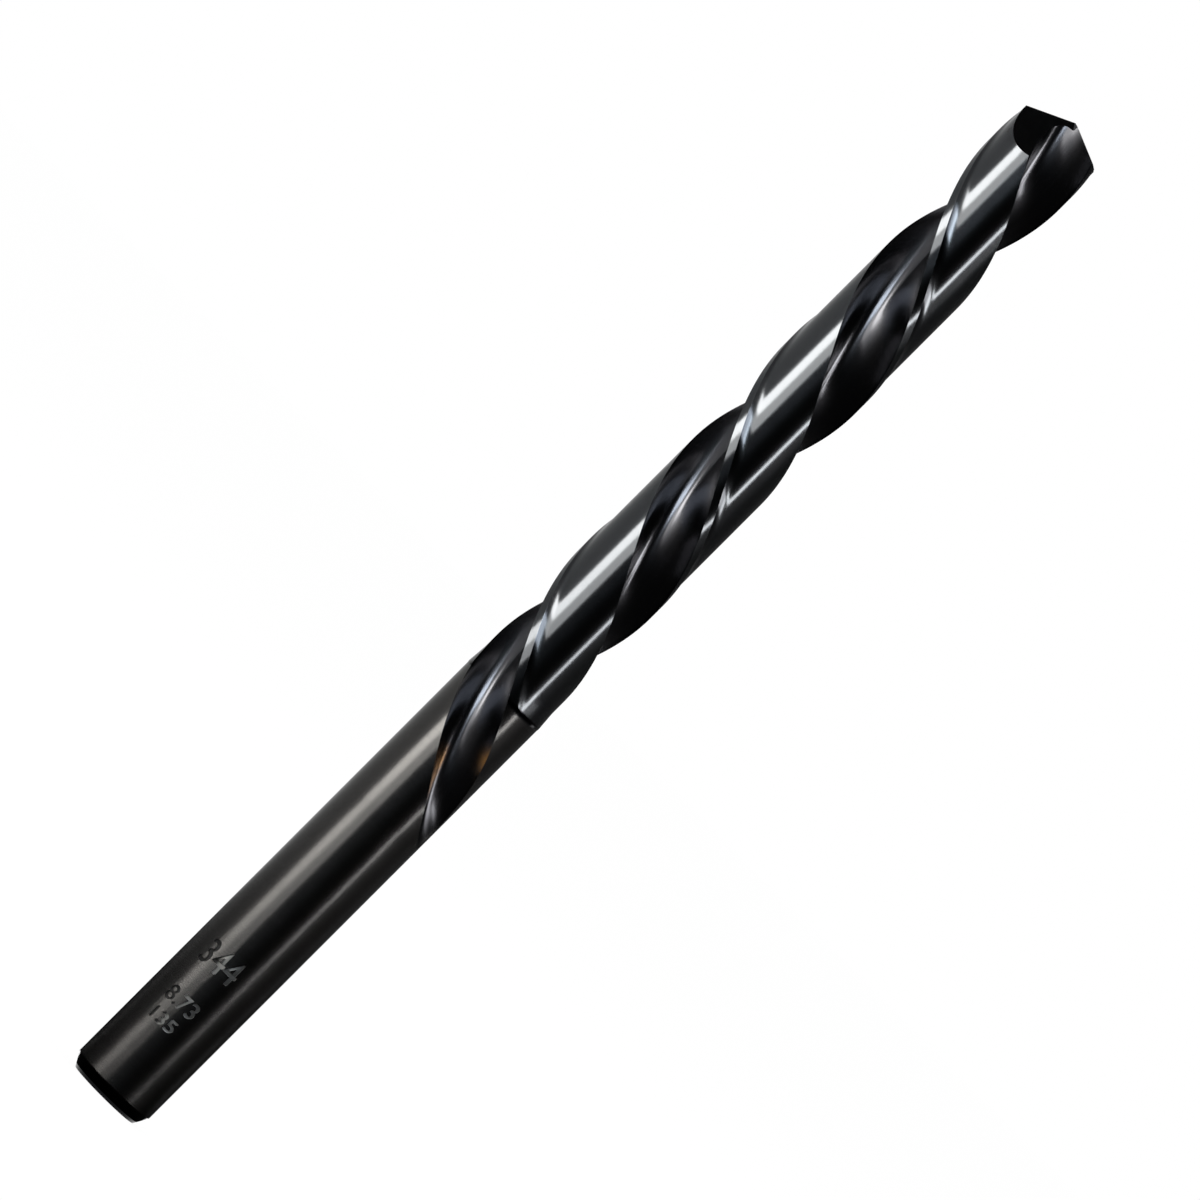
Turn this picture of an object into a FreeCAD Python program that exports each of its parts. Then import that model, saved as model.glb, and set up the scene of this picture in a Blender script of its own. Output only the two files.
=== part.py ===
# Left-hand twist drill bit, 11/32 in jobber length, as one solid with the label "drill_bit".
#
# The work follows the real one: a round blank is turned, two tapering flutes are milled along
# a left-hand helix and run out into the shank, the land behind each margin is ground back,
# and the 135 degree point is ground with a flank and a notch on each side.
#
# Frame, in millimetres: the origin is the centre of the shank's end face, +Z runs along the
# axis to the point, and the two cutting lips run along +X and -X.

import FreeCAD, Part
import math
import os
import Sketcher

os.makedirs("parts", exist_ok=True)
doc = FreeCAD.newDocument("twist_drill")
vector = FreeCAD.Vector

# Driving dimensions. Lengths are in millimetres and angles in degrees.
sheet = doc.addObject("Spreadsheet::Sheet", "dims")
sheet.Label = "dims"
DIMENSIONS = [
    ("Diameter over the margins", "drill_diameter", "8.731"),
    ("Diameter of the shank", "shank_diameter", "8.57"),
    ("Length over all", "overall_length", "120.65"),
    ("Height where the shank's diameter ends", "shank_length", "49.5"),
    ("Height of the cone from the shank to the body", "shank_cone", "0.25"),
    ("Chamfer of the shank's end, along the axis", "chamfer_length", "1.28"),
    ("Chamfer of the shank's end, across", "chamfer_depth", "0.73"),
    ("Lead of the helix, one full turn", "helix_lead", "49.8"),
    ("Web between the flutes at the point", "point_web", "1.35"),
    ("Growth of half the web per millimetre", "web_growth", "0.0146"),
    ("Height where the flute starts to run out", "runout_height", "45.5"),
    ("Radius of the run-out along the axis", "runout_radius", "25.7"),
    ("Diameter over the cleared land", "land_diameter", "8.34"),
    ("Width of the margin, as an angle", "margin_angle", "10.5"),
    ("Width of the hollow behind the margin, as an angle", "hollow_angle", "13"),
    ("Included angle of the point", "point_angle", "135"),
    ("Relief of the flank behind the lip", "flank_relief", "11.1"),
    ("Slope of the notch's floor", "notch_slope", "52.4"),
    ("Angle of the notch's root across its floor", "notch_turn", "126"),
    ("Angle between the notch's floor and wall", "notch_opening", "127.4"),
    ("Radius in the notch's root", "notch_radius", "0.3"),
    ("Half the chisel edge, across the lips", "chisel_half", "0.12"),
]
for row, (meaning, alias, value) in enumerate(DIMENSIONS, 1):
    sheet.set("A%d" % row, meaning)
    sheet.set("B%d" % row, value)
    sheet.setAlias("B%d" % row, alias)
doc.recompute()


def dim(alias):
    """A driving dimension as a number."""
    return float(sheet.get(alias))


# The blank is turned from bar: a sketch of half its outline, revolved about the axis.
body = doc.addObject("PartDesign::Body", "blank")
body.Label = "blank"
outline = body.newObject("Sketcher::SketchObject", "blank_outline")
front_plane = [f for f in body.Origin.OriginFeatures if "XZ" in f.Name][0]
outline.AttachmentSupport = (front_plane, [""])
outline.MapMode = "FlatFace"

# Each corner is a distance from the axis and a height, both as expressions.
BLANK_TOP = 0.5
CORNERS = [
    ("0", "0"),
    ("dims.shank_diameter / 2 - dims.chamfer_depth", "0"),
    ("dims.shank_diameter / 2", "dims.chamfer_length"),
    ("dims.shank_diameter / 2", "dims.shank_length"),
    ("dims.drill_diameter / 2", "dims.shank_length + dims.shank_cone"),
    ("dims.drill_diameter / 2", "dims.overall_length + %g" % BLANK_TOP),
    ("0", "dims.overall_length + %g" % BLANK_TOP),
]


def value_of(expression):
    """The number that an expression of the sheet's names gives now."""
    for alias in sorted((row[1] for row in DIMENSIONS), key=len, reverse=True):
        expression = expression.replace("dims." + alias, repr(dim(alias)))
    terms = expression.replace("- ", "-").replace("+ ", "+").split(" ")
    total, place = 0.0, 0
    while place < len(terms):
        number = float(terms[place])
        if place + 2 < len(terms) and terms[place + 1] == "/":
            number /= float(terms[place + 2])
            place += 2
        total += number
        place += 1
    return total


start = [vector(value_of(across), value_of(up), 0) for across, up in CORNERS]
for i, point in enumerate(start):
    outline.addGeometry(Part.LineSegment(point, start[(i + 1) % len(start)]), False)
for i in range(len(CORNERS)):
    outline.addConstraint(Sketcher.Constraint("Coincident", i, 2, (i + 1) % len(CORNERS), 1))
outline.addConstraint(Sketcher.Constraint("Coincident", 0, 1, -1, 1))
for i, (across, up) in enumerate(CORNERS[1:], 1):
    for kind, expression in (("DistanceX", across), ("DistanceY", up)):
        if expression == "0" and kind == "DistanceX":
            outline.addConstraint(Sketcher.Constraint("PointOnObject", i, 1, -2))
        elif expression == "0":
            outline.addConstraint(Sketcher.Constraint("PointOnObject", i, 1, -1))
        else:
            number = start[i].x if kind == "DistanceX" else start[i].y
            index = outline.addConstraint(Sketcher.Constraint(kind, -1, 1, i, 1, number))
            outline.setExpression("Constraints[%d]" % index, expression)

turned = body.newObject("PartDesign::Revolution", "turned_blank")
turned.Profile = outline
turned.ReferenceAxis = (outline, ["V_Axis"])
turned.Angle = 360
doc.recompute()

# Shape of the flute cutter, seen along the axis at the point. Its leading side is the curve
# that makes the lip a straight line: on a cone of the point's angle, a point of the lip at
# distance r from the axis lies lower than the tip, and the helix turns it back by that height.
drill_radius = dim("drill_diameter") / 2
half_web = dim("point_web") / 2
turn_per_mm = math.radians(360.0 / dim("helix_lead"))
lip_slope = 1.0 / math.tan(math.radians(dim("point_angle") / 2))
cutter_way = math.radians(-70.0)


def leading_side(radius):
    """Point of the flute's leading side at a distance from the axis."""
    along = math.sqrt(radius ** 2 - half_web ** 2)
    angle = -math.asin(half_web / radius) - turn_per_mm * along * lip_slope
    return vector(radius * math.cos(angle), radius * math.sin(angle), 0)


# From the outside inwards along the leading side, then over the web in a round bottom, and
# out along the heel side, which bends outwards before it leaves the land.
LEADING_RADII = [5.6, 5.0, 4.4, 3.75, 3.15, 2.6, 2.1, 1.65, 1.25, 0.95]
WEB_AND_HEEL = [
    (0.25, -0.68), (-0.17, -0.71), (-0.55, -0.87), (-0.86, -1.14), (-1.08, -1.50),
    (-1.22, -1.93), (-1.31, -2.40), (-1.41, -2.86), (-1.60, -3.30), (-1.90, -3.74),
    (-2.27, -4.20), (-2.75, -4.80),
]
CUTTER_BACK = (2.74, -7.52)
cutter_points = [leading_side(r) for r in LEADING_RADII]
cutter_points += [vector(x, y, 0) for x, y in WEB_AND_HEEL]


def cutter_shift(height):
    """How far the cutter stands off the axis, beyond its place at the point."""
    shift = dim("web_growth") * (dim("overall_length") - height)
    below = dim("runout_height") - height
    if below > 0:
        radius = dim("runout_radius")
        shift += radius - math.sqrt(radius ** 2 - below ** 2)
    return shift


def helix_angle(height):
    """Turn of a section about the axis, left-hand, in radians."""
    return turn_per_mm * (dim("overall_length") - height)


def placed(points, height, shift):
    """Points of a section shifted outwards, turned by the helix and lifted to a height."""
    push = vector(shift * math.cos(cutter_way), shift * math.sin(cutter_way), 0)
    turn = FreeCAD.Rotation(vector(0, 0, 1), math.degrees(helix_angle(height)))
    return [turn.multVec(p + push) + vector(0, 0, height) for p in points]


def closed_section(curve_points, back_points):
    """A wire from one smooth curve, closed by straight lines on its back."""
    curve = Part.BSplineCurve()
    curve.interpolate(curve_points)
    corners = [curve_points[-1]] + back_points + [curve_points[0]]
    lines = [Part.LineSegment(a, b).toShape() for a, b in zip(corners, corners[1:])]
    return Part.Wire([curve.toShape()] + lines)


def lofts(sections):
    """Solids through the sections, end to end.

    A face that winds far round the axis confuses the cuts, so the cutter is a row of short
    pieces, each through at most PIECE_SECTIONS sections more than its first.
    """
    spans = len(sections) - 1
    count = int(math.ceil(spans / PIECE_SECTIONS))
    marks = [round(i * spans / count) for i in range(count + 1)]
    return [Part.makeLoft(sections[low:high + 1], True, False)
            for low, high in zip(marks, marks[1:])]


def heights(bottom, top, step):
    """Evenly spaced heights from the bottom to the top."""
    count = int(math.ceil((top - bottom) / step))
    return [bottom + (top - bottom) * i / count for i in range(count + 1)]


PIECE_SECTIONS = 8
ABOVE_POINT = 2.0
FLUTE_STEP = 2.1
RUNOUT_STEP = 1.25
RUNOUT_LENGTH = 12.5
flute_top = dim("overall_length") + ABOVE_POINT
runout_start = dim("runout_height")
flute_heights = heights(runout_start - RUNOUT_LENGTH, runout_start, RUNOUT_STEP)
flute_heights += heights(runout_start, flute_top, FLUTE_STEP)[1:]
flute_sections = []
for z in flute_heights:
    points = placed(cutter_points + [vector(*CUTTER_BACK, 0)], z, cutter_shift(z))
    flute_sections.append(closed_section(points[:-1], points[-1:]))
flute_pieces = lofts(flute_sections)


# The clearance cutter takes the land back behind the margin. The hollow next to the margin
# is a smooth curve, and the rest of the land is round about the axis.
def margin_edge(height):
    """Angle of the margin's leading edge at a height, in radians."""
    shift = cutter_shift(height)
    low, high = 2.0, 5.6
    for _ in range(50):
        middle = (low + high) / 2
        point = placed([leading_side(middle)], height, shift)[0]
        if math.hypot(point.x, point.y) < drill_radius:
            low = middle
        else:
            high = middle
    point = placed([leading_side(high)], dim("overall_length"), shift)[0]
    return math.atan2(point.y, point.x) + helix_angle(height)


land_radius = dim("land_diameter") / 2
land_depth = drill_radius - land_radius
HOLLOW_STEPS = [-0.59, -0.3, 0.0, 0.25, 0.5, 0.75, 1.0]
LAND_ANGLES = [30, 37, 46, 56, 66, 76, 86, 96, 106, 116, 125]
CLEARANCE_BACK = [(5.6, 128), (7.0, 95), (7.0, 50)]


def clearance_section(height):
    """Section of the clearance cutter at a height; it starts outside the shank's end of it."""
    lift = max(0.0, CLEARANCE_RUNOUT * (dim("shank_length") + CLEARANCE_RISE - height))
    edge = margin_edge(height)

    def spot(radius, degrees):
        angle = edge + math.radians(degrees)
        return vector((radius + lift) * math.cos(angle), (radius + lift) * math.sin(angle), height)

    curve = [spot(land_radius + land_depth * (1 - t) ** 2,
                  dim("margin_angle") + t * dim("hollow_angle")) for t in HOLLOW_STEPS]
    curve += [spot(land_radius, a) for a in LAND_ANGLES]
    return closed_section(curve, [spot(r, a) for r, a in CLEARANCE_BACK])


CLEARANCE_RISE = 2.0
CLEARANCE_RUNOUT = 0.08
clearance_start = dim("shank_length")
clearance_heights = heights(clearance_start - 1.0, clearance_start + CLEARANCE_RISE, 1.0)
clearance_heights += heights(clearance_start + CLEARANCE_RISE, flute_top, FLUTE_STEP)[1:]
clearance_pieces = lofts([clearance_section(z) for z in clearance_heights])

# The point's tools. A flank is ground by the flat face of a wheel, so its tool is a box whose
# bottom lies in the plane of the flank. The notch is ground by a wheel's corner, so its tool
# is that corner's outline, drawn as a sketch and drawn out along the root of the notch.
TOOL_SIZE = 16.0
notch = doc.addObject("Sketcher::SketchObject", "notch_outline")
notch.Label = "notch_outline"
opening = math.radians(dim("notch_opening"))
root = dim("notch_radius")
tangent = root / math.tan(opening / 2)
reach = TOOL_SIZE / math.sin(opening)
far_wall = vector(reach * math.cos(opening), TOOL_SIZE, 0)
floor_start = vector(tangent, 0, 0)
wall_start = vector(tangent * math.cos(opening), tangent * math.sin(opening), 0)
middle = vector(tangent, root, 0)
notch.addGeometry(Part.LineSegment(floor_start, vector(TOOL_SIZE, 0, 0)), False)
notch.addGeometry(Part.LineSegment(vector(TOOL_SIZE, 0, 0), vector(TOOL_SIZE, TOOL_SIZE, 0)), False)
notch.addGeometry(Part.LineSegment(vector(TOOL_SIZE, TOOL_SIZE, 0), far_wall), False)
notch.addGeometry(Part.LineSegment(far_wall, wall_start), False)
first = math.atan2(wall_start.y - middle.y, wall_start.x - middle.x)
last = math.atan2(floor_start.y - middle.y, floor_start.x - middle.x)
circle = Part.Circle(middle, vector(0, 0, 1), root)
notch.addGeometry(Part.ArcOfCircle(circle, first, last), False)
for a, b in ((0, 1), (1, 2), (2, 3)):
    notch.addConstraint(Sketcher.Constraint("Coincident", a, 2, b, 1))
notch.addConstraint(Sketcher.Constraint("Tangent", 3, 2, 4, 1))
notch.addConstraint(Sketcher.Constraint("Tangent", 4, 2, 0, 1))
notch.addConstraint(Sketcher.Constraint("PointOnObject", 0, 1, -1))
notch.addConstraint(Sketcher.Constraint("Horizontal", 0))
notch.addConstraint(Sketcher.Constraint("Vertical", 1))
notch.addConstraint(Sketcher.Constraint("Horizontal", 2))
notch.addConstraint(Sketcher.Constraint("DistanceX", -1, 1, 0, 2, TOOL_SIZE))
notch.addConstraint(Sketcher.Constraint("DistanceY", -1, 1, 1, 2, TOOL_SIZE))
notch.addConstraint(Sketcher.Constraint("PointOnObject", -1, 1, 3))
index = notch.addConstraint(Sketcher.Constraint("Angle", 0, 1, 3, 2, opening))
notch.setExpression("Constraints[%d]" % index, "dims.notch_opening * 1 deg")
index = notch.addConstraint(Sketcher.Constraint("Radius", 4, root))
notch.setExpression("Constraints[%d]" % index, "dims.notch_radius")
doc.recompute()


def add_pieces(name, pieces, turn):
    """The ready pieces of a cutter as objects, turned about the axis."""
    items = []
    for number, piece in enumerate(pieces, 1):
        item = doc.addObject("Part::Feature", "%s_%d" % (name, number))
        item.Label = "%s_%d" % (name, number)
        shape = piece.copy()
        shape.rotate(vector(0, 0, 0), vector(0, 0, 1), turn)
        item.Shape = shape
        items.append(item)
    return items


def add_flank(name, turn):
    """A box above the plane of the flank; the plane holds the lip and falls behind it."""
    box = doc.addObject("Part::Box", name)
    box.Label = name
    box.Length = box.Width = TOOL_SIZE
    box.Height = TOOL_SIZE / 2
    box.setExpression("Placement", (
        "placement(vector(0; 0; dims.overall_length); rotation(vector(0; 0; 1); %g))"
        " * placement(vector(0; -dims.point_web / 2; tan(dims.flank_relief * 1 deg)"
        " / sin(dims.point_angle * 0.5 deg) * dims.point_web / 2);"
        " rotation(vector(0; 1; 0); 90 - dims.point_angle / 2)"
        " * rotation(vector(1; 0; 0); -dims.flank_relief))"
        " * placement(vector(%g; %g; 0); rotation(vector(0; 0; 1); 0))"
    ) % (turn, -TOOL_SIZE / 2, -TOOL_SIZE / 2))
    return box


def add_notch(name, turn):
    """The notch's outline drawn out both ways along its root."""
    tool = doc.addObject("Part::Extrusion", name)
    tool.Label = name
    tool.Base = notch
    tool.DirMode = "Normal"
    tool.LengthFwd = 2.0
    tool.LengthRev = 11.0
    tool.Solid = True
    tool.setExpression("Placement", (
        "placement(vector(0; 0; dims.overall_length); rotation(vector(0; 0; 1); %g))"
        " * placement(vector(-dims.chisel_half * tan(dims.flank_relief * 1 deg)"
        " / cos(dims.point_angle * 0.5 deg); dims.chisel_half; 0);"
        " rotation(vector(1; 0; 0); -dims.notch_slope)"
        " * rotation(vector(0; 0; 1); dims.notch_turn - 90)"
        " * rotation(vector(1; 0; 0); 90))"
    ) % turn)
    return tool


# The milling and the clearance are one cut by all their pieces together.
SIDES = (("a", 0), ("b", 180))
pieces = []
for side, turn in SIDES:
    pieces += add_pieces("flute_" + side, flute_pieces, turn)
    pieces += add_pieces("clearance_" + side, clearance_pieces, turn)
cutters = doc.addObject("Part::MultiFuse", "cutters")
cutters.Label = "cutters"
cutters.Shapes = pieces
milled = doc.addObject("Part::Cut", "milled")
milled.Label = "milled"
milled.Base, milled.Tool = body, cutters
cutters.Refine = milled.Refine = False

# The point is ground last, and its last cut is the finished drill.
ground = milled
for side, turn in SIDES:
    for tool in (add_flank("flank_" + side, turn), add_notch("notch_" + side, turn)):
        cut = doc.addObject("Part::Cut", tool.Name + "_ground")
        cut.Label = cut.Name
        cut.Base, cut.Tool = ground, tool
        cut.Refine = False
        ground = cut
ground.Label = "drill_bit"
doc.recompute()

for item in doc.Objects:
    if "Invalid" in item.State or "Error" in item.State:
        raise RuntimeError("%s isn't built: %s" % (item.Label, item.getStatusString()))
    if hasattr(item, "Shape") and item.isDerivedFrom("Part::Feature"):
        if item.Shape.isNull() or not item.Shape.isValid():
            raise RuntimeError("%s has no valid shape" % item.Label)

drill = ground.Shape
if len(drill.Solids) != 1:
    raise RuntimeError("the drill has %d solids" % len(drill.Solids))
drill = drill.Solids[0]

# A cut that fails leaves its side whole, and the centre of mass then leaves the axis.
centre = drill.CenterOfMass
if math.hypot(centre.x, centre.y) > 0.01:
    raise RuntimeError("the drill isn't the same on both sides: %s" % centre)
drill.exportStep("parts/drill_bit.step")
print("drill_bit: volume %.1f mm3, %d faces, centre of mass %.3f, %.3f, %.3f mm" % (
    drill.Volume, len(drill.Faces), centre.x, centre.y, centre.z))
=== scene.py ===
# %% [markdown]
# # A left-hand twist drill bit
#
# The CAD model is loaded as a fixed frame, and it gives the size and the place of everything.
# This file dresses it: it makes the drill again as a fine mesh of the same form, with its
# margins, hollows and ground point, and gives it the look of black oxide on ground steel.

import math

import bmesh
import bpy
import numpy as np
from mathutils import Matrix, Vector


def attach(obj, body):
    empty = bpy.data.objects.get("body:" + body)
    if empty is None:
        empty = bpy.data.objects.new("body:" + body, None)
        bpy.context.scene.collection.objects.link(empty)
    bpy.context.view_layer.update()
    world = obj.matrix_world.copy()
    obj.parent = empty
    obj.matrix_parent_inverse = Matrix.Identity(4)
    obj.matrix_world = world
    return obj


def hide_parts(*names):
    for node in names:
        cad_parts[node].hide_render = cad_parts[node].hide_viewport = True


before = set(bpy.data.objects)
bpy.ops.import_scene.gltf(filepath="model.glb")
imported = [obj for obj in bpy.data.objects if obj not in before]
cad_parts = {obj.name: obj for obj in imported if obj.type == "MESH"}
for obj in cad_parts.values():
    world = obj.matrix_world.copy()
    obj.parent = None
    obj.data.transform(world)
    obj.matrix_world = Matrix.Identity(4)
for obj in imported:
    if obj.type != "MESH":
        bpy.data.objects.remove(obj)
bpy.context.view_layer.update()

# %% [markdown]
# ## The dimensions
#
# The drill is 11/32 inch in diameter and of jobber length. These values are the CAD model's
# own, in millimetres and degrees, so that the mesh fits the solid that it stands for. The
# origin is the centre of the shank's end, and the axis runs up to the point.

# %% Dimensions
DRILL_RADIUS = 8.731 / 2
SHANK_RADIUS = 8.57 / 2
LENGTH = 120.65
SHANK_LENGTH = 49.5
SHANK_CONE = 0.25
CHAMFER_LENGTH, CHAMFER_DEPTH = 1.28, 0.73
LEAD = 49.8
HALF_WEB = 1.35 / 2
WEB_GROWTH = 0.0146
RUNOUT_HEIGHT, RUNOUT_RADIUS = 45.5, 25.7
LAND_RADIUS = 8.34 / 2
MARGIN_ANGLE, HOLLOW_ANGLE = math.radians(10.5), math.radians(13)
CLEARANCE_RISE, CLEARANCE_RUNOUT = 2.0, 0.08
POINT_ANGLE = math.radians(135)
FLANK_RELIEF = math.radians(11.1)
NOTCH_SLOPE, NOTCH_TURN = math.radians(52.4), math.radians(126)
NOTCH_OPENING, NOTCH_RADIUS = math.radians(127.4), 0.3
CHISEL_HALF = 0.12
MM = 0.001
print("helix angle:", round(math.degrees(math.atan(2 * math.pi * DRILL_RADIUS / LEAD)), 1),
      "degrees, length over diameter:", round(LENGTH / DRILL_RADIUS / 2, 1))

# %% [markdown]
# ## The flute's outline
#
# A flute is milled by a formed cutter that winds round the axis. Seen along the axis, its
# leading side must make the lip a straight line once the point is ground, so that side comes
# from a formula. The web and the heel side are drawn as a few points. A smooth curve
# through them all could be a Bezier curve, but a cubic spline worked out with numpy gives
# every point that the next steps need, as one array.

# %% Flute outline
TURN = 2 * math.pi / LEAD


def leading_side(radius):
    """Point at a distance r from the axis: its angle is minus arcsin(half web / r), less the
    helix's turn over the height by which the lip has dropped there."""
    along = np.sqrt(radius ** 2 - HALF_WEB ** 2)
    angle = -np.arcsin(HALF_WEB / radius) - TURN * along / math.tan(POINT_ANGLE / 2)
    return np.stack([radius * np.cos(angle), radius * np.sin(angle)], axis=-1)


def smooth_curve(points, samples):
    """Natural cubic spline through the points: the second derivatives solve a three-banded
    system in the chord lengths, and each span is the usual blend of its ends."""
    knots = np.concatenate([[0], np.cumsum(np.linalg.norm(np.diff(points, axis=0), axis=1))])
    step = np.diff(knots)
    count = len(points)
    system = np.eye(count)
    inner = np.arange(1, count - 1)
    system[inner, inner - 1] = step[:-1]
    system[inner, inner] = 2 * (step[:-1] + step[1:])
    system[inner, inner + 1] = step[1:]
    slope = np.diff(points, axis=0) / step[:, None]
    right = np.zeros_like(points)
    right[1:-1] = 6 * np.diff(slope, axis=0)
    bend = np.linalg.solve(system, right)
    where = np.linspace(0, knots[-1], samples)
    span = np.clip(np.searchsorted(knots, where) - 1, 0, count - 2)
    width = step[span][:, None]
    after = (where - knots[span])[:, None]
    before = width - after
    return ((bend[span] * before ** 3 + bend[span + 1] * after ** 3) / (6 * width)
            + (points[span] / width - bend[span] * width / 6) * before
            + (points[span + 1] / width - bend[span + 1] * width / 6) * after)


LEADING_RADII = np.array([5.6, 5.0, 4.4, 3.75, 3.15, 2.6, 2.1, 1.65, 1.25, 0.95])
WEB_AND_HEEL = np.array([
    (0.25, -0.68), (-0.17, -0.71), (-0.55, -0.87), (-0.86, -1.14), (-1.08, -1.50),
    (-1.22, -1.93), (-1.31, -2.40), (-1.41, -2.86), (-1.60, -3.30), (-1.90, -3.74),
    (-2.27, -4.20), (-2.75, -4.80),
])
flute_curve = smooth_curve(np.vstack([leading_side(LEADING_RADII), WEB_AND_HEEL]), 3000)
print("web at the point:", round(2 * np.linalg.norm(flute_curve, axis=1).min(), 2), "mm")

# %% [markdown]
# ## One section of the drill
#
# At every height, the drill's section is the margin, the hollow behind it, the cleared land
# and the flute, and the same again half a turn on. A wound cutter could be taken away with a
# Boolean, but its edges would be ragged. So the two curves are trimmed against each other, by
# looking up where the flute's curve is as far from the axis as the land. With the same number
# of points in every section, the sections make a grid, whose columns run along the real
# edges. Where the flute has run out, its columns fall together.

# %% Blank, land and cutter at a height
CUTTER_ANGLE = math.radians(-70)
CUTTER_WAY = np.array([math.cos(CUTTER_ANGLE), math.sin(CUTTER_ANGLE)])
RUNOUT_DEPTH = 12.5


def cutter_shift(height):
    """Distance of the cutter from its place at the point: it grows evenly with the depth
    below the point, and along an arc of the run-out's radius where the flute runs out."""
    below = np.clip(RUNOUT_HEIGHT - height, 0, RUNOUT_DEPTH)
    arc = RUNOUT_RADIUS - np.sqrt(RUNOUT_RADIUS ** 2 - below ** 2)
    return WEB_GROWTH * (LENGTH - height) + arc


def blank_radius(height):
    """Radius of the turned blank: the end's chamfer, the shank, a short cone and the body."""
    return np.interp(height,
                     [0, CHAMFER_LENGTH, SHANK_LENGTH, SHANK_LENGTH + SHANK_CONE],
                     [SHANK_RADIUS - CHAMFER_DEPTH, SHANK_RADIUS, SHANK_RADIUS, DRILL_RADIUS])


def cleared_radius(height):
    """Radius of the cleared land, which rises to the blank near the shank."""
    return LAND_RADIUS + max(0, CLEARANCE_RUNOUT * (SHANK_LENGTH + CLEARANCE_RISE - height))


print("at mid-length: cutter out by", round(cutter_shift(LENGTH / 2), 2), "mm, blank",
      blank_radius(LENGTH / 2), "mm, land", cleared_radius(LENGTH / 2), "mm")


# %% Section at a height
MARGIN_POINTS, HOLLOW_POINTS, LAND_POINTS, FLUTE_POINTS = 5, 9, 30, 62


def crossings(height):
    """Places on the flute's curve where it meets the blank and the land, and whether it does.
    Both are looked up in the list of distances from the axis, each on its own side of the
    curve's nearest point."""
    curve = flute_curve + cutter_shift(height) * CUTTER_WAY
    away = np.linalg.norm(curve, axis=1)
    nearest = int(np.argmin(away))
    outer = blank_radius(height)
    inner = min(outer, cleared_radius(height))
    if away[nearest] >= outer:
        return curve, nearest, nearest, False
    lead = np.interp(-outer, -away[:nearest + 1], np.arange(nearest + 1))
    heel = np.interp(max(inner, away[nearest]), away[nearest:],
                     np.arange(nearest, len(away)))
    return curve, lead, heel, True


def half_section(height):
    """Half of the section, before the helix turns it, as points that run anticlockwise: the
    margin, a hollow that falls with the square of the way across it, the land, the flute."""
    curve, lead, heel, cuts = crossings(height)
    index = np.arange(len(curve))
    on_curve = np.linspace(heel, lead, FLUTE_POINTS)
    flute = np.stack([np.interp(on_curve, index, curve[:, i]) for i in (0, 1)], axis=1)
    margin_edge = math.atan2(flute[-1, 1], flute[-1, 0])
    heel_edge = math.atan2(flute[0, 1], flute[0, 0])
    outer = blank_radius(height)
    margin = margin_edge + np.linspace(0, MARGIN_ANGLE, MARGIN_POINTS)[:-1]
    across = np.linspace(0, 1, HOLLOW_POINTS)[:-1]
    hollow = margin_edge + MARGIN_ANGLE + across * HOLLOW_ANGLE
    land = np.linspace(margin_edge + MARGIN_ANGLE + HOLLOW_ANGLE, heel_edge + math.pi,
                       LAND_POINTS)[:-1]
    lift = cleared_radius(height) - LAND_RADIUS
    drop = (DRILL_RADIUS - LAND_RADIUS) * (1 - across) ** 2
    radius = np.concatenate([
        np.full(len(margin), outer),
        np.minimum(outer, LAND_RADIUS + lift + drop),
        np.full(len(land), min(outer, LAND_RADIUS + lift)),
    ])
    angle = np.concatenate([margin, hollow, land])
    rim = np.stack([radius * np.cos(angle), radius * np.sin(angle)], axis=1)
    return np.vstack([rim, -flute[:-1]])


HEIGHTS_TRIED = np.arange(33.0, 40.0, 0.02)
flute_end = max(height for height in HEIGHTS_TRIED if not crossings(height)[3])
print("the flutes run out at", round(flute_end, 2), "mm, which leaves",
      round(LENGTH - flute_end, 1), "mm of flute")

# %% [markdown]
# ## The drill's grid
#
# Turning each section by the helix gives one closed grid from the end of the shank to a
# little above the point. The real blank is cut in the same order: turned first, milled next.
# A Screw modifier could wind a single section, but the web grows and the flutes run out, so
# every height has a section of its own. The rows stand close together in the run-out, where
# the shape changes fastest.

# %% Grid of sections
SHANK_ROWS, RUNOUT_ROWS, BODY_ROWS = 12, 42, 168
CROWDING = 1.6
ABOVE_POINT = 1.0


def row_heights():
    """Heights of the grid's rows: the ends of every step of the blank, even rows on the shank
    and the body, and in the run-out a power of an even count, which crowds them below."""
    shank = np.linspace(CHAMFER_LENGTH + 0.05, flute_end, SHANK_ROWS)
    along = np.linspace(0, 1, RUNOUT_ROWS)[1:] ** CROWDING
    runout = flute_end + (RUNOUT_HEIGHT - flute_end) * along
    body = np.linspace(RUNOUT_HEIGHT, LENGTH + ABOVE_POINT, BODY_ROWS)[1:]
    steps = [0, CHAMFER_LENGTH, SHANK_LENGTH, SHANK_LENGTH + SHANK_CONE]
    return np.unique(np.concatenate([steps, shank, runout, body]))


def drill_grid():
    """Rows of points: each section is turned left-handed by the helix at its height, and the
    rows of the plain shank keep the turn that the flutes end with."""
    points = []
    for height in row_heights():
        half = half_section(max(height, flute_end))
        scale = blank_radius(height) / SHANK_RADIUS if height < flute_end else 1.0
        ring = np.vstack([half, -half]) * scale
        turn = TURN * (LENGTH - max(height, flute_end))
        spin = np.array([[math.cos(turn), math.sin(turn)], [-math.sin(turn), math.cos(turn)]])
        points.append(np.column_stack([ring @ spin, np.full(len(ring), height)]))
    return np.array(points)


grid = drill_grid()
print("grid:", grid.shape[0], "rows of", grid.shape[1], "points")


# %% Mesh of the grid
WELD_REACH = 2e-7


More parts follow.
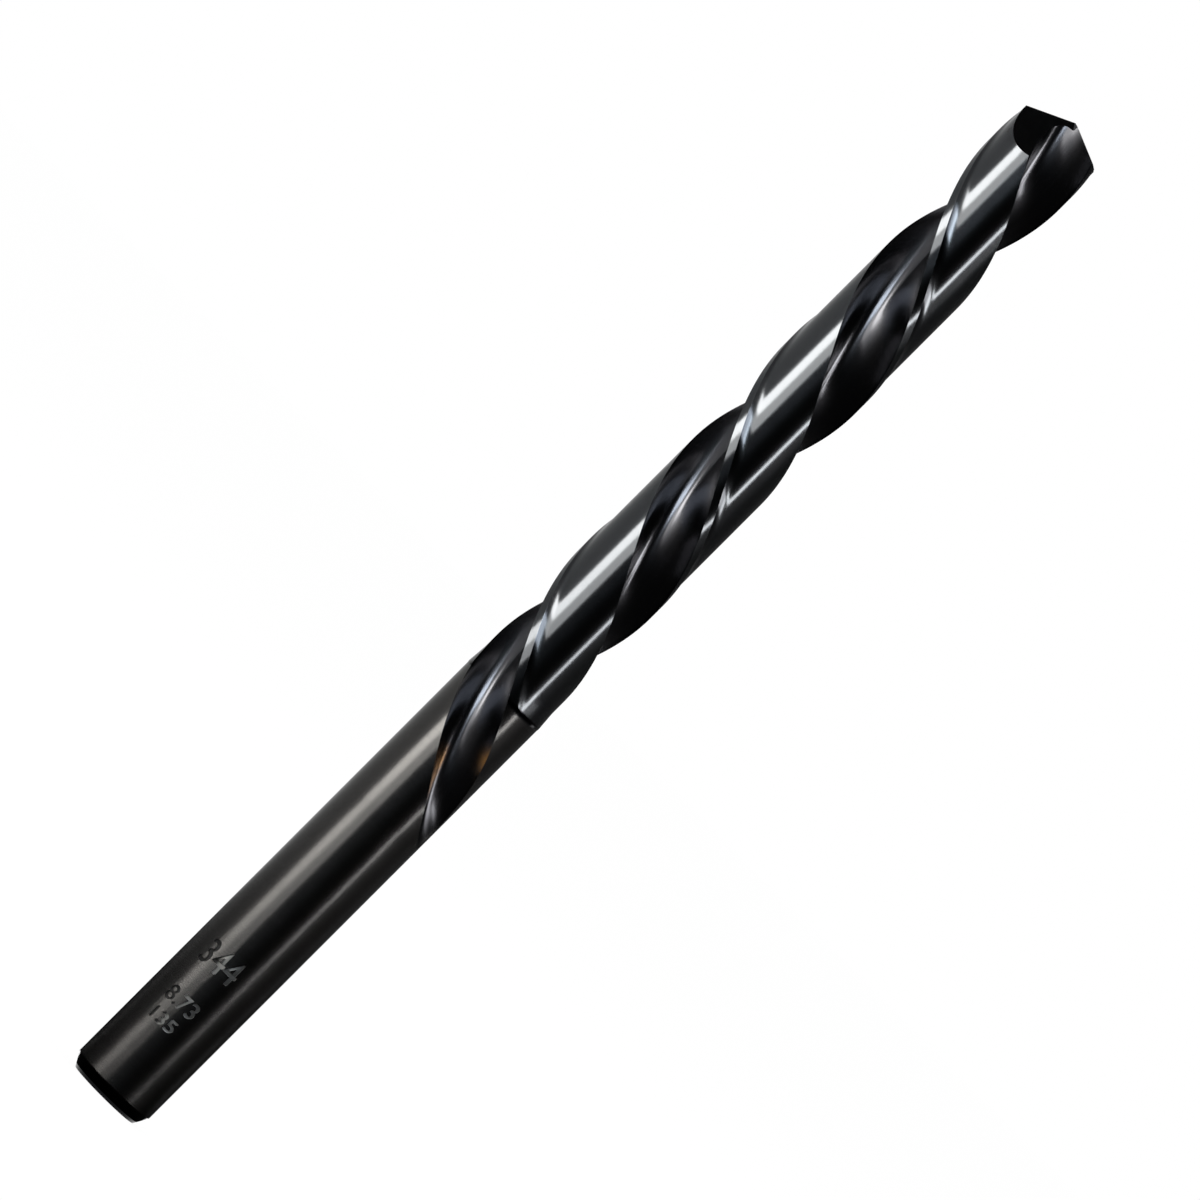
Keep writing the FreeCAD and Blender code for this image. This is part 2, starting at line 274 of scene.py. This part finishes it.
def closed_mesh(name, rows):
    """Mesh of a grid that is closed round its rows, with a flat face at each end."""
    count, around = rows.shape[:2]
    index = np.arange(count * around).reshape(count, around)
    after = np.roll(index, -1, axis=1)
    quads = np.stack([index[:-1], after[:-1], after[1:], index[1:]], axis=-1).reshape(-1, 4)
    faces = quads.tolist() + [index[0][::-1].tolist(), index[-1].tolist()]
    mesh = bpy.data.meshes.new(name)
    mesh.from_pydata((rows.reshape(-1, 3) * MM).tolist(), [], faces)
    mesh.validate()
    return mesh


def add_piece(name, mesh):
    """An object at the origin, linked to the scene."""
    piece = bpy.data.objects.new(name, mesh)
    bpy.context.scene.collection.objects.link(piece)
    return piece


drill = add_piece("ground_drill", closed_mesh("ground_drill", grid))
drill.modifiers.new("weld", "WELD").merge_threshold = WELD_REACH
print("milled drill:", len(drill.data.polygons), "faces before the weld")

# %% [markdown]
# ## The point
#
# The real point is ground by a wheel in four cuts: a flank behind each lip, and a notch that
# thins the web and leaves a short lip beside the chisel edge. Each cut here is a block in the
# place of the wheel, taken away with a Boolean. That keeps the flats truly flat and their
# edges sharp, which points of the drill's own grid could only do roughly.

# %% Grinding blocks
TOOL = 16.0
NOTCH_REACH = (-11, 2)


def rotation(axis, angle):
    """Turn about X, Y or Z as a 3 by 3 array."""
    return np.array(Matrix.Rotation(angle, 3, axis))


def prism(name, outline, low, high, turn, place, side):
    """Prism of an outline in its own XY, from low to high along its Z, turned, put in its
    place below the point's tip, and then turned about the axis for its side of the drill."""
    count = len(outline)
    both = np.vstack([np.column_stack([outline, np.full(count, z)]) for z in (low, high)])
    points = (both @ turn.T + place) @ rotation("Z", side).T + [0, 0, LENGTH]
    index = np.arange(count)
    after = np.roll(index, -1)
    sides = np.column_stack([index, after, after + count, index + count])
    faces = sides.tolist() + [index[::-1].tolist(), (index + count).tolist()]
    mesh = bpy.data.meshes.new(name)
    mesh.from_pydata((points * MM).tolist(), [], faces)
    return add_piece(name, mesh)


flank_turn = rotation("Y", math.pi / 2 - POINT_ANGLE / 2) @ rotation("X", -FLANK_RELIEF)
notch_turn = (rotation("X", -NOTCH_SLOPE) @ rotation("Z", NOTCH_TURN - math.pi / 2)
              @ rotation("X", math.pi / 2))


def flank_block(side):
    """Square block whose underside lies in the flank: through the lip, falling behind it."""
    half = TOOL / 2
    corners = [(-half, -half), (half, -half), (half, half), (-half, half)]
    rise = HALF_WEB * math.tan(FLANK_RELIEF) / math.sin(POINT_ANGLE / 2)
    return prism("flank_block", corners, 0, half, flank_turn, [0, -HALF_WEB, rise], side)


def notch_block(side):
    """The wheel's corner: a floor and a wall that meet in a small radius."""
    start = NOTCH_RADIUS / math.tan(NOTCH_OPENING / 2)
    arc = np.linspace(NOTCH_OPENING + math.pi / 2, 3 * math.pi / 2, 7)
    rounded = np.column_stack([start + NOTCH_RADIUS * np.cos(arc),
                               NOTCH_RADIUS + NOTCH_RADIUS * np.sin(arc)])
    outer = [(TOOL, 0), (TOOL, TOOL), (TOOL / math.tan(NOTCH_OPENING), TOOL)]
    aside = -CHISEL_HALF * math.tan(FLANK_RELIEF) / math.cos(POINT_ANGLE / 2)
    return prism("notch_block", np.vstack([rounded, outer]), *NOTCH_REACH, notch_turn,
                 [aside, CHISEL_HALF, 0], side)


print("the blocks are", TOOL, "mm wide")


# %% Grind the point
def cut_away(piece, cutters):
    """Take the cutters out of the piece with exact Booleans, and keep the result as its mesh."""
    for cutter in cutters:
        cut = piece.modifiers.new("cut", "BOOLEAN")
        cut.operation, cut.solver, cut.object = "DIFFERENCE", "EXACT", cutter
    piece.data = bpy.data.meshes.new_from_object(
        piece.evaluated_get(bpy.context.evaluated_depsgraph_get()))
    piece.modifiers.clear()
    for cutter in cutters:
        bpy.data.objects.remove(cutter)


cut_away(drill, [make(side) for side in (0, math.pi) for make in (flank_block, notch_block)])
print("ground drill:", len(drill.data.polygons), "faces")

# %% [markdown]
# ## The numbers on the shank
#
# The real shank is stamped. Here it has its size and its point angle as plain numbers. They
# could be a bump in the material, but then their edges would blur, so each number is a thin
# solid, bent round the shank and cut out of it. Each row is struck twice, a little aside,
# which makes the thin strokes of the type as broad as those of a steel stamp.

# %% Flat numbers
def coordinates(mesh):
    """Places of a mesh's vertices as an array."""
    spots = np.empty(len(mesh.vertices) * 3)
    mesh.vertices.foreach_get("co", spots)
    return spots.reshape(-1, 3)


def flat_text(name, words, width, tall):
    """Solid text of a given width and height in millimetres, as one closed mesh."""
    text = bpy.data.curves.new(name, "FONT")
    text.body, text.extrude = words, 1.0
    holder = add_piece(name, text)
    solid = bpy.data.meshes.new_from_object(
        holder.evaluated_get(bpy.context.evaluated_depsgraph_get()))
    bpy.data.objects.remove(holder)
    spots = coordinates(solid)
    low, high = spots.min(axis=0), spots.max(axis=0)
    spots = (spots - low) / (high - low) * [width, tall, 1]
    solid.vertices.foreach_set("co", spots.ravel())
    work = bmesh.new()
    work.from_mesh(solid)
    bmesh.ops.remove_doubles(work, verts=work.verts[:], dist=1e-5)
    bmesh.ops.triangulate(work, faces=work.faces[:])
    work.to_mesh(solid)
    work.free()
    return solid


# %% Stamp the shank
STAMP_DEPTH = 0.12
CAMERA_ANGLE = math.radians(293.5)
STAMP_ANGLE = CAMERA_ANGLE - math.radians(13)
STRIKE_ASIDE = 0.045
ROWS = [("344", 4.0, 2.45, 14.5), ("8.73", 3.4, 1.5, 10.1), ("135", 2.6, 1.2, 8.0)]


def stamp(name, words, width, tall, angle, height):
    """Cutter for one row of numbers: across becomes the angle times the radius, and depth
    becomes the distance from the axis, from below the surface to above it."""
    solid = flat_text(name, words, width, tall)
    across, up, depth = coordinates(solid).T
    radius = SHANK_RADIUS - STAMP_DEPTH + depth * 3 * STAMP_DEPTH
    turn = angle + (across - width / 2) / SHANK_RADIUS
    bent = np.column_stack([radius * np.cos(turn), radius * np.sin(turn), height + up])
    solid.vertices.foreach_set("co", (bent * MM).ravel())
    solid.update()
    return add_piece(name, solid)


cut_away(drill, [
    stamp("number", words, width, tall, STAMP_ANGLE + aside / SHANK_RADIUS, height + aside)
    for words, width, tall, height in ROWS for aside in (-STRIKE_ASIDE, STRIKE_ASIDE)
])
print("with numbers:", len(drill.data.polygons), "faces")

# %% [markdown]
# ## Smooth faces and crisp edges
#
# The flutes and lands of the real drill are smooth, and their edges are sharp enough to cut.
# Bevels round every edge would show that a little better, but they could open the mesh where
# the Booleans left very thin triangles. So the faces are shaded smooth, and each edge at
# which the surface turns by more than a small angle stays sharp.

# %% Edges
SHARP_FROM = math.radians(24)
finished = drill.data
finished.shade_smooth()
finished.set_sharp_from_angle(angle=SHARP_FROM)
finished.calc_loop_triangles()
print("drill:", len(finished.loop_triangles), "triangles, height",
      round(coordinates(finished)[:, 2].max() * 1000, 3), "mm")

# %% [markdown]
# ## Shader arithmetic
#
# A finish is easier to read as arithmetic than as a drawing of nodes. The first small class
# wraps a node's output, and its operators add Math nodes, so that masks are written as sums
# and products. The second one holds a material, and makes any other node from its type, its
# settings and the values of its inputs.

# %% Values with operators
class Value:
    """A number in a material that Python's operators work on."""

    def __init__(self, finish, socket):
        self.finish, self.socket = finish, socket

    def math(self, operation, *others, clamp=False):
        return self.finish.node("ShaderNodeMath", dict(operation=operation, use_clamp=clamp),
                                dict(enumerate((self,) + others)))

    def __add__(self, other):
        return self.math("ADD", other)

    def __mul__(self, other):
        return self.math("MULTIPLY", other)

    def __sub__(self, other):
        return self.math("SUBTRACT", other)

    def __rsub__(self, other):
        return (self * -1) + other

    def __pow__(self, other):
        return self.math("POWER", other)

    __radd__, __rmul__ = __add__, __mul__

    def between(self, low, high):
        """0 below low, 1 above high, and a straight rise from one to the other."""
        return ((self - low) * (1 / (high - low))).math("ADD", 0, clamp=True)


print("operators of a value:", [name for name in vars(Value) if name.startswith("__r")
                                or name in ("__add__", "__mul__", "__sub__", "__pow__")])


# %% Materials from values
class Finish:
    """A material under construction."""

    def __init__(self, name):
        self.material = bpy.data.materials.new(name)
        self.material.use_nodes = True
        self.tree = self.material.node_tree
        self.shader = self.tree.nodes["Principled BSDF"]

    def node(self, kind, settings, values, output=0):
        """Any node: its settings first, then its inputs as numbers or links."""
        made = self.tree.nodes.new(kind)
        for key, setting in settings.items():
            setattr(made, key, setting)
        for key, value in values.items():
            self.set(made.inputs[key], value)
        return Value(self, made.outputs[output])

    def set(self, socket, value):
        """A link from a value, or a plain number or colour, for one socket."""
        if isinstance(value, Value):
            self.tree.links.new(value.socket, socket)
        else:
            socket.default_value = value

    def feed(self, **values):
        """Links or numbers for the main shader's sockets."""
        for key, value in values.items():
            name = key.replace("_", " ").title().replace("Ior", "IOR")
            self.set(self.shader.inputs[name], value)

    def other(self, value, name):
        """Another output of the node that a value comes from."""
        return Value(self, value.socket.node.outputs[name])

    def place(self):
        """Object coordinates in millimetres, as a vector and as three numbers."""
        metres = self.node("ShaderNodeTexCoord", {}, {}, "Object")
        vector = self.node("ShaderNodeVectorMath", dict(operation="SCALE"),
                           {0: metres, "Scale": 1000.0})
        x = self.node("ShaderNodeSeparateXYZ", {}, {0: vector}, "X")
        return vector, x, self.other(x, "Y"), self.other(x, "Z")

    def vector(self, x, y, z):
        """Three numbers as one place, for a noise that is stretched."""
        return self.node("ShaderNodeCombineXYZ", {}, {"X": x, "Y": y, "Z": z})

    def attribute(self, name):
        """A value that the mesh carries on its faces."""
        return self.node("ShaderNodeAttribute", dict(attribute_name=name), {}, "Fac")

    def mix(self, amount, first, second):
        """Blend of two colours, by an amount from 0 to 1."""
        pair = {slot: colour if isinstance(colour, Value) else (*colour, 1)
                for slot, colour in ((6, first), (7, second))}
        return self.node("ShaderNodeMix", dict(data_type="RGBA"), {"Factor": amount, **pair}, 2)

    def noise(self, where, scale, detail, roughness):
        """Noise in cells per millimetre, from 0 to 1."""
        return self.node("ShaderNodeTexNoise", {}, {
            "Vector": where, "Scale": scale, "Detail": detail, "Roughness": roughness})


print("a finish can:", [name for name in vars(Finish) if not name.startswith("_")])

# %% [markdown]
# ## Black oxide on ground steel
#
# The whole drill is blackened. The lands are ground and stay glossy, the shank has a soft
# sheen with fine rings from turning, and the flutes have faint lines along the helix and are
# painted darker where they run out, which is painted shade. Heat leaves a trace of straw brown
# where the flutes run out. All of it is one finish, and the distance from the axis and the
# height say which part a spot belongs to. The ground flats of the point are marked on the
# mesh, because a place alone doesn't tell them apart.
# The shader is a metal throughout, whose base colour says how much of its surroundings it
# mirrors. A dark plastic could look alike, but it would mirror as much in every place.

# %% Mark the ground flats
def faces_facing(mesh, ways):
    """Which faces near the tip look in one of the given directions, on either side."""
    normals = np.empty(len(mesh.polygons) * 3)
    centres = np.empty(len(mesh.polygons) * 3)
    mesh.polygons.foreach_get("normal", normals)
    mesh.polygons.foreach_get("center", centres)
    both = np.vstack([np.array(ways), np.array(ways) * [-1, -1, 1]])
    match = (normals.reshape(-1, 3) @ both.T).max(axis=1) > 0.9995
    return match & (centres[2::3] > (LENGTH - 5) * MM)


def mark(mesh, name, faces):
    """A value of 1 on the faces and 0 elsewhere, which the finish can read by its name."""
    values = mesh.attributes.new(name, "FLOAT", "FACE")
    values.data.foreach_set("value", faces.astype(float))
    print(name, "is on", int(faces.sum()), "faces")


flank_way = flank_turn @ [0, 0, 1]
notch_ways = [notch_turn @ [0, 1, 0],
              notch_turn @ [math.sin(NOTCH_OPENING), -math.cos(NOTCH_OPENING), 0]]
mark(drill.data, "flank", faces_facing(drill.data, [flank_way]))
mark(drill.data, "notch", faces_facing(drill.data, notch_ways))


# %% Regions
SHANK_TOP, CONE_FOOT, CONE_TOP = (49.2, 49.5), (49.4, 49.5), (49.75, 49.85)
CHAMFER_TOP, RUNOUT_START, HOLLOW_START = (1.1, 1.4), (33.5, 34.2), (51, 53)
NUMBERS_FOOT, NUMBERS_TOP = (7.0, 7.1), (17.5, 17.6)
FLUTE_RADIUS, NUMBER_RADIUS, WALL_RADIUS = (4.05, 4.15), (4.262, 4.278), (4.175, 4.19)
HOLLOW_FLOOR, HOLLOW_RIM = (4.2, 4.26), (4.35, 4.36)


def regions(finish, x, y, z):
    """Masks from 0 to 1. The shank is below the body's cone, and a flute is nearer the axis
    than the land. The numbers' floor is below the shank's surface, and only their walls are
    between the two."""
    radius = (x * x + y * y) ** 0.5
    shank = 1 - z.between(*SHANK_TOP)
    flute = (1 - radius.between(*FLUTE_RADIUS)) * z.between(*RUNOUT_START)
    cone = z.between(*CONE_FOOT) * (1 - z.between(*CONE_TOP)) * (1 - flute)
    hollow = radius.between(*HOLLOW_FLOOR) * (1 - radius.between(*HOLLOW_RIM))
    rows = z.between(*NUMBERS_FOOT) * (1 - z.between(*NUMBERS_TOP))
    number = (1 - radius.between(*NUMBER_RADIUS)) * rows
    return {
        "flute": flute,
        "shank": shank * (1 - flute),
        "land": (1 - flute) * (1 - shank),
        # the hollow behind each margin, which carries painted shade
        "hollow": hollow * z.between(*HOLLOW_START),
        # the shank's end chamfer and the cone above the shank, which carry painted shade
        "turned_edge_shade": 1 - z.between(*CHAMFER_TOP) + cone,
        "ground": finish.attribute("flank").math("MAXIMUM", finish.attribute("notch")),
        "number": number,
        "number_wall": number * radius.between(*WALL_RADIUS),
        "radius": radius,
    }


print("a spot is in a flute where the radius is under", FLUTE_RADIUS[0], "mm")


# %% Colours
LAND_BLACK, SHANK_BLACK = (0.07, 0.073, 0.077), (0.074, 0.072, 0.07)
# The run-out's near black on the next line is painted shade in the flutes where they run out.
FLUTE_BLACK, RUNOUT_SHADE_BLACK = (0.07, 0.07, 0.075), (0.01, 0.01, 0.011)
# The turned edges' black on the next line is painted shade on the shank's end chamfer and on the
# cone above the shank.
EDGE_SHADE_BLACK, GROUND_BLACK = (0.008, 0.008, 0.009), (0.05, 0.05, 0.052)
# The hollow's black on the next line is painted shade behind each margin.
HOLLOW_SHADE_BLACK, NUMBER_SHADE_BLACK = (0.02, 0.02, 0.022), (0.012, 0.012, 0.012)
# On the line above, the numbers' black is painted shade. On this line, the numbers' grey is painted
# light and the bright steel of their walls is a painted glint.
NUMBER_PAINTED_GREY, NUMBER_WALL_GLINT = (0.12, 0.118, 0.112), (0.5, 0.49, 0.47)
STRAW_BROWN = (0.28, 0.14, 0.042)
HEEL_ANGLE = math.radians(114)


def oxide_colour(finish, part, where, angle, around, z):
    """Colours laid over each other, each by its own mask. Straw is on the heel's side of the
    run-out, where the cosine of twice the helix's own angle is high, and it is cloudy. Painted
    shade darkens the flutes where they run out, the turned edges and the hollows. The numbers'
    floor is painted shade on one side of an angle about the axis, where the shank has its bright
    band, and painted light on the other, where the shank is dark, and their walls carry a
    painted glint."""
    heel = ((angle + HEEL_ANGLE) * 2).math("COSINE").between(0.45, 0.85)
    cloudy = finish.noise(where, 0.6, 3.0, 0.6).between(0.2, 0.45)
    straw = z.between(36.0, 39.0) * (1 - z.between(41.8, 43.4)) * heel * part["flute"] * cloudy
    painted_light_side = around.between(math.radians(-84), math.radians(-79))
    layers = [
        (part["shank"], SHANK_BLACK),
        (part["flute"], FLUTE_BLACK),
        # painted shade: the flutes are painted near black where they run out
        (part["flute"] * (1 - z.between(37.0, 39.5)) * 0.85, RUNOUT_SHADE_BLACK),
        # painted shade on the shank's end chamfer and on the cone above the shank
        (part["turned_edge_shade"], EDGE_SHADE_BLACK),
        (part["ground"], GROUND_BLACK),
        # painted shade in the hollow behind each margin
        (part["hollow"] * 0.7, HOLLOW_SHADE_BLACK),
        # the numbers' floor: painted shade beside the shank's bright band, painted light where the
        # shank is dark
        (part["number"], finish.mix(painted_light_side, NUMBER_SHADE_BLACK, NUMBER_PAINTED_GREY)),
        # painted glint on the numbers' walls
        (part["number_wall"], NUMBER_WALL_GLINT),
        (straw * 0.9, STRAW_BROWN),
    ]
    colour = LAND_BLACK
    for mask, tint in layers:
        colour = finish.mix(mask, colour, tint)
    return colour


print("the lands mirror", LAND_BLACK[1], "of the light, the ground flats", GROUND_BLACK[1])


# %% Black oxide
BUMP_STRENGTH, BUMP_DISTANCE = 0.18, 0.00002


def black_oxide():
    """The colour, and a roughness and a relief that are sums over the regions. The helix's own
    angle is the angle about the axis with the helix's turn at that height. Rings are noise
    that is short along the axis, and lines are noise that is long along the helix."""
    finish = Finish("black_oxide")
    where, x, y, z = finish.place()
    part = regions(finish, x, y, z)
    around = y.math("ARCTAN2", x)
    angle = around + (z - LENGTH) * TURN
    rings = finish.noise(finish.vector(x * 0.12, y * 0.12, z * 9.0), 1.0, 3.0, 0.65)
    stretched = finish.vector(part["radius"] * 7.0, angle.math("SINE") * 3.0, z * 0.05)
    lines = finish.noise(stretched, 1.0, 3.0, 0.6)
    cloud, grain = finish.noise(where, 0.35, 4.0, 0.6), finish.noise(where, 7.0, 3.0, 0.6)
    rough = (0.125 * part["land"] + part["shank"] * (0.14 + rings * 0.05)
             + part["flute"] * (0.15 + lines * 0.07) + part["ground"] * 0.08
             + part["number"] * 0.2 + cloud * 0.04 + grain * 0.03)
    relief = (rings * part["shank"] * 0.25 + lines * part["flute"] * 0.8
              + grain * (0.3 + part["shank"] * 0.6))
    bump = finish.node("ShaderNodeBump", {}, {
        "Strength": BUMP_STRENGTH, "Distance": BUMP_DISTANCE, "Height": relief}, "Normal")
    finish.feed(base_color=oxide_colour(finish, part, where, angle, around, z),
                metallic=1.0, roughness=rough, normal=bump)
    return finish.material


oxide = black_oxide()
drill.data.materials.clear()
drill.data.materials.append(oxide)
print("black oxide:", len(oxide.node_tree.nodes), "nodes")

# %% [markdown]
# ## Riding on the frame
#
# The mesh stands for the CAD node of the drill, so that node's own mesh is hidden.

# %% Ride
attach(drill, "root")
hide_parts("drill_bit")
print(drill.name, "rides on root and stands for drill_bit")

# %% [markdown]
# ## Camera
#
# The photograph looks square at the drill's axis from about seven lengths away, with the
# axis turned 45 degrees in the picture. A shorter lens nearer the drill would frame it alike,
# but it would see each end at a slant. The drill itself stands upright on its shank, so it is
# the camera that is rolled. The span is how many metres the frame takes in at the drill, and
# the camera stands a little aside to put the drill where the photograph has it.

# %% Camera
DISTANCE = 0.86
SPAN = 0.1054
SHIFT_RIGHT, SHIFT_UP = 0.00090, 0.00078
MIDDLE = Vector((0, 0, LENGTH * MM / 2))


def add_camera():
    """The picture's right and up are the drill's axis and its side, turned 45 degrees."""
    back = Vector((math.cos(CAMERA_ANGLE), math.sin(CAMERA_ANGLE), 0))
    axis = Vector((0, 0, 1))
    side = (-back).cross(axis)
    right = (axis + side).normalized()
    up = (axis - side).normalized()
    lens = bpy.data.cameras.new("camera")
    lens.lens = lens.sensor_width * DISTANCE / SPAN
    camera = bpy.data.objects.new("camera", lens)
    place = MIDDLE + back * DISTANCE + right * SHIFT_RIGHT + up * SHIFT_UP
    turned = Matrix((right, up, back)).transposed().to_4x4()
    camera.matrix_world = Matrix.Translation(place) @ turned
    bpy.context.scene.collection.objects.link(camera)
    bpy.context.scene.camera = camera
    return camera


camera = add_camera()
print("lens:", round(camera.data.lens, 1), "mm")

# %% [markdown]
# ## Floor
#
# The drill stands on a plain white floor, as small tools do in a shop's picture. A backdrop
# could close the view behind it, but the white world does that by itself. To the camera the
# floor is nearly pure white, and a small share of its own shading keeps the drill's shadow.

# %% Floor
FLOOR_REACH = 6
WHITE_SHARE = 0.96


def stage_mesh(name, points, faces):
    """A stage piece from points in metres."""
    mesh = bpy.data.meshes.new(name)
    mesh.from_pydata(points, [], faces)
    piece = add_piece(name, mesh)
    return piece


def matt(name, grey):
    """A plain matt finish of one grey."""
    finish = Finish(name)
    finish.feed(base_color=(grey, grey, grey, 1), roughness=0.9, specular_ior_level=0.0)
    return finish


def shown(finish):
    """1 for camera, glossy and transmission rays, which see the plain white background."""
    to_camera = finish.node("ShaderNodeLightPath", {}, {}, "Is Camera Ray")
    to_mirror = finish.other(to_camera, "Is Glossy Ray")
    through_glass = finish.other(to_camera, "Is Transmission Ray")
    return (to_camera + to_mirror + through_glass).math("MINIMUM", 1.0)


def add_floor():
    """A wide white floor that is white to the camera and still takes the drill's shadow."""
    far = FLOOR_REACH
    corners = [(-far, -far, 0), (far, -far, 0), (far, far, 0), (-far, far, 0)]
    floor = stage_mesh("floor", corners, [(0, 1, 2, 3)])
    finish = matt("white_floor", 0.9)
    glow = finish.node("ShaderNodeEmission", {}, {"Color": (1, 1, 1, 1), "Strength": 1.0})
    surface = Value(finish, finish.shader.outputs[0])
    blend = finish.node("ShaderNodeMixShader", {}, {
        0: shown(finish) * WHITE_SHARE, 1: surface, 2: glow})
    finish.set(finish.tree.nodes["Material Output"].inputs[0], blend)
    floor.data.materials.append(finish.material)


add_floor()
print("floor:", 2 * FLOOR_REACH, "m wide")

# %% [markdown]
# ## Cards
#
# A glossy black cylinder shows mostly what is round it, so a photographer sets dark cards
# round the camera to keep it black. A dark world could do that too, but it would darken the
# background. Here the cards are parts of one ball round the drill, cut off just above the
# floor. They are seen by mirrors alone, so that they don't stand in the way of other views or
# shade the floor. Behind the drill, two strips on the floor shine steeply upward: seen from
# above, they draw the bands that the panels draw at the drill's own height.

# %% Cards
CARD_RADIUS, CARD_LIFT, CARD_STEP = 1.4, 0.0003, 4.0
CARD_LOW, CARD_HIGH = -8, 40
FRONT_LEFT, FRONT_RIGHT, BACK_LEFT = 66, 156, 272
STRIP_TURNS, STRIP_HALF, STRIP_GLOW = (216, 326), 8, 6.0


def direction(degrees_from_left, degrees_up):
    """Way from the drill as an array: 0 degrees is its left, 90 is the camera's side."""
    around = np.radians(degrees_from_left) + CAMERA_ANGLE - math.pi / 2
    up = np.radians(degrees_up)
    return np.stack([np.cos(up) * np.cos(around), np.cos(up) * np.sin(around), np.sin(up)], axis=-1)


def add_card(name, covers, grey):
    """A card bent as part of a ball round the drill: the quads of a grid over the angle from
    the left and the angle up, kept where the rule covers says so. Ways that would go through
    the floor are shortened to end just above it."""
    turns = np.arange(0, 361, CARD_STEP)
    rises = np.arange(-88, 91, CARD_STEP)
    way = direction(*np.meshgrid(turns, rises))
    drop = CARD_LIFT - MIDDLE.z
    reach = np.where(way[..., 2] * CARD_RADIUS < drop,
                     drop / np.minimum(way[..., 2], -1e-6), CARD_RADIUS)
    points = np.array(MIDDLE) + reach[..., None] * way
    index = np.arange(reach.size).reshape(reach.shape)
    quads = np.stack([index[:-1, :-1], index[:-1, 1:], index[1:, 1:], index[1:, :-1]], axis=-1)
    keep = covers(*np.meshgrid(turns[:-1] + CARD_STEP / 2, rises[:-1] + CARD_STEP / 2))
    card = stage_mesh(name, points.reshape(-1, 3).tolist(), quads[keep].tolist())
    finish = matt(name, grey)
    card.data.materials.append(finish.material)
    card.visible_camera = card.visible_shadow = card.visible_diffuse = False
    print(name, "has", int(keep.sum()), "of", keep.size, "fields")
    return finish


def level(up):
    """Directions near the drill's own height."""
    return (up > CARD_LOW) & (up < CARD_HIGH)


def on_strip(turn, up):
    """The two strips on the floor, which run outward from the drill behind it."""
    beside = [abs(turn - middle) < STRIP_HALF for middle in STRIP_TURNS]
    return (up < CARD_LOW) & np.any(beside, axis=0)


def on_black(turn, up):
    """The camera's side, and all that is high up or low down, apart from the strips."""
    return (~level(up) | ((turn > FRONT_LEFT) & (turn < FRONT_RIGHT))) & ~on_strip(turn, up)


# %% Hang the cards
add_card("black_card", on_black, 0.007)
add_card("dark_card", lambda turn, up: level(up) & (turn > FRONT_RIGHT) & (turn < BACK_LEFT), 0.055)
add_card("pale_card", lambda turn, up: level(up) & ((turn < FRONT_LEFT) | (turn > BACK_LEFT)), 0.42)
strips = add_card("floor_strips", on_strip, 0.02)
steep = 1 - strips.node("ShaderNodeLayerWeight", {}, {"Blend": 0.5}, "Facing")
strips.feed(emission_color=strips.mix(steep.between(0.13, 0.23), (0, 0, 0), (1, 1, 1)),
            emission_strength=STRIP_GLOW)

# %% [markdown]
# ## Lamps and world
#
# On a polished round bar each lamp becomes one bright line, and where the line runs depends
# only on the angle of the lamp. A soft panel on the left front makes the bright band along
# the axis, a weaker one beside it makes the band's grey border, and a narrow one on the right
# makes the thin line. Two high panels light the flutes, whose walls look upward. A point lamp
# would give the same lines, but hard and thin ones. The world is plain white.

# %% Lamps
LAMP_AWAY = 1.1
WARM, COOL, WHITE = (1.0, 0.985, 0.95), (0.82, 0.91, 1.0), (1, 1, 1)
PANELS = [
    ("left_panel", 36, 0, 0.39, 0.40, 14.0, WARM),
    ("left_fill", 56, 0, 0.42, 0.40, 4.0, WARM),
    ("right_panel", 148.5, 0, 0.13, 0.40, 13.0, WHITE),
    ("right_high", 166, 15, 0.40, 0.24, 12.0, WHITE),
    ("front_high", 76, 18, 0.66, 0.22, 14.0, COOL),
]


def add_panel(name, place, width, tall, radiance, colour):
    """A soft panel that faces the drill: its power is its radiance times pi times its area."""
    light = bpy.data.lights.new(name, "AREA")
    light.shape, light.size, light.size_y = "RECTANGLE", width, tall
    light.energy = radiance * math.pi * width * tall
    light.color = colour
    panel = bpy.data.objects.new(name, light)
    aim = (MIDDLE - place).to_track_quat("-Z", "Y")
    panel.matrix_world = Matrix.Translation(place) @ aim.to_matrix().to_4x4()
    bpy.context.scene.collection.objects.link(panel)
    return panel


for name, turn, rise, width, tall, radiance, colour in PANELS:
    place = Vector(direction(turn, 0)) * LAMP_AWAY
    place.z = MIDDLE.z + LAMP_AWAY * math.tan(math.radians(rise))
    add_panel(name, place, width, tall, radiance, colour)
above = Vector(direction(270, 0)) * 0.3 + Vector((0, 0, 1.2))
add_panel("top_panel", above, 1.0, 1.0, 1.2, WHITE).visible_glossy = False
print(len(PANELS) + 1, "lamps, the brightest of radiance", max(panel[5] for panel in PANELS))


# %% World and view
world = bpy.data.worlds.new("studio")
world.use_nodes = True
background = world.node_tree.nodes["Background"]
background.inputs["Color"].default_value = (1, 1, 1, 1)
background.inputs["Strength"].default_value = 1.0
bpy.context.scene.world = world
bpy.context.scene.view_settings.view_transform = "Standard"
print("world:", world.name, "of strength", background.inputs["Strength"].default_value)

# %% [markdown]
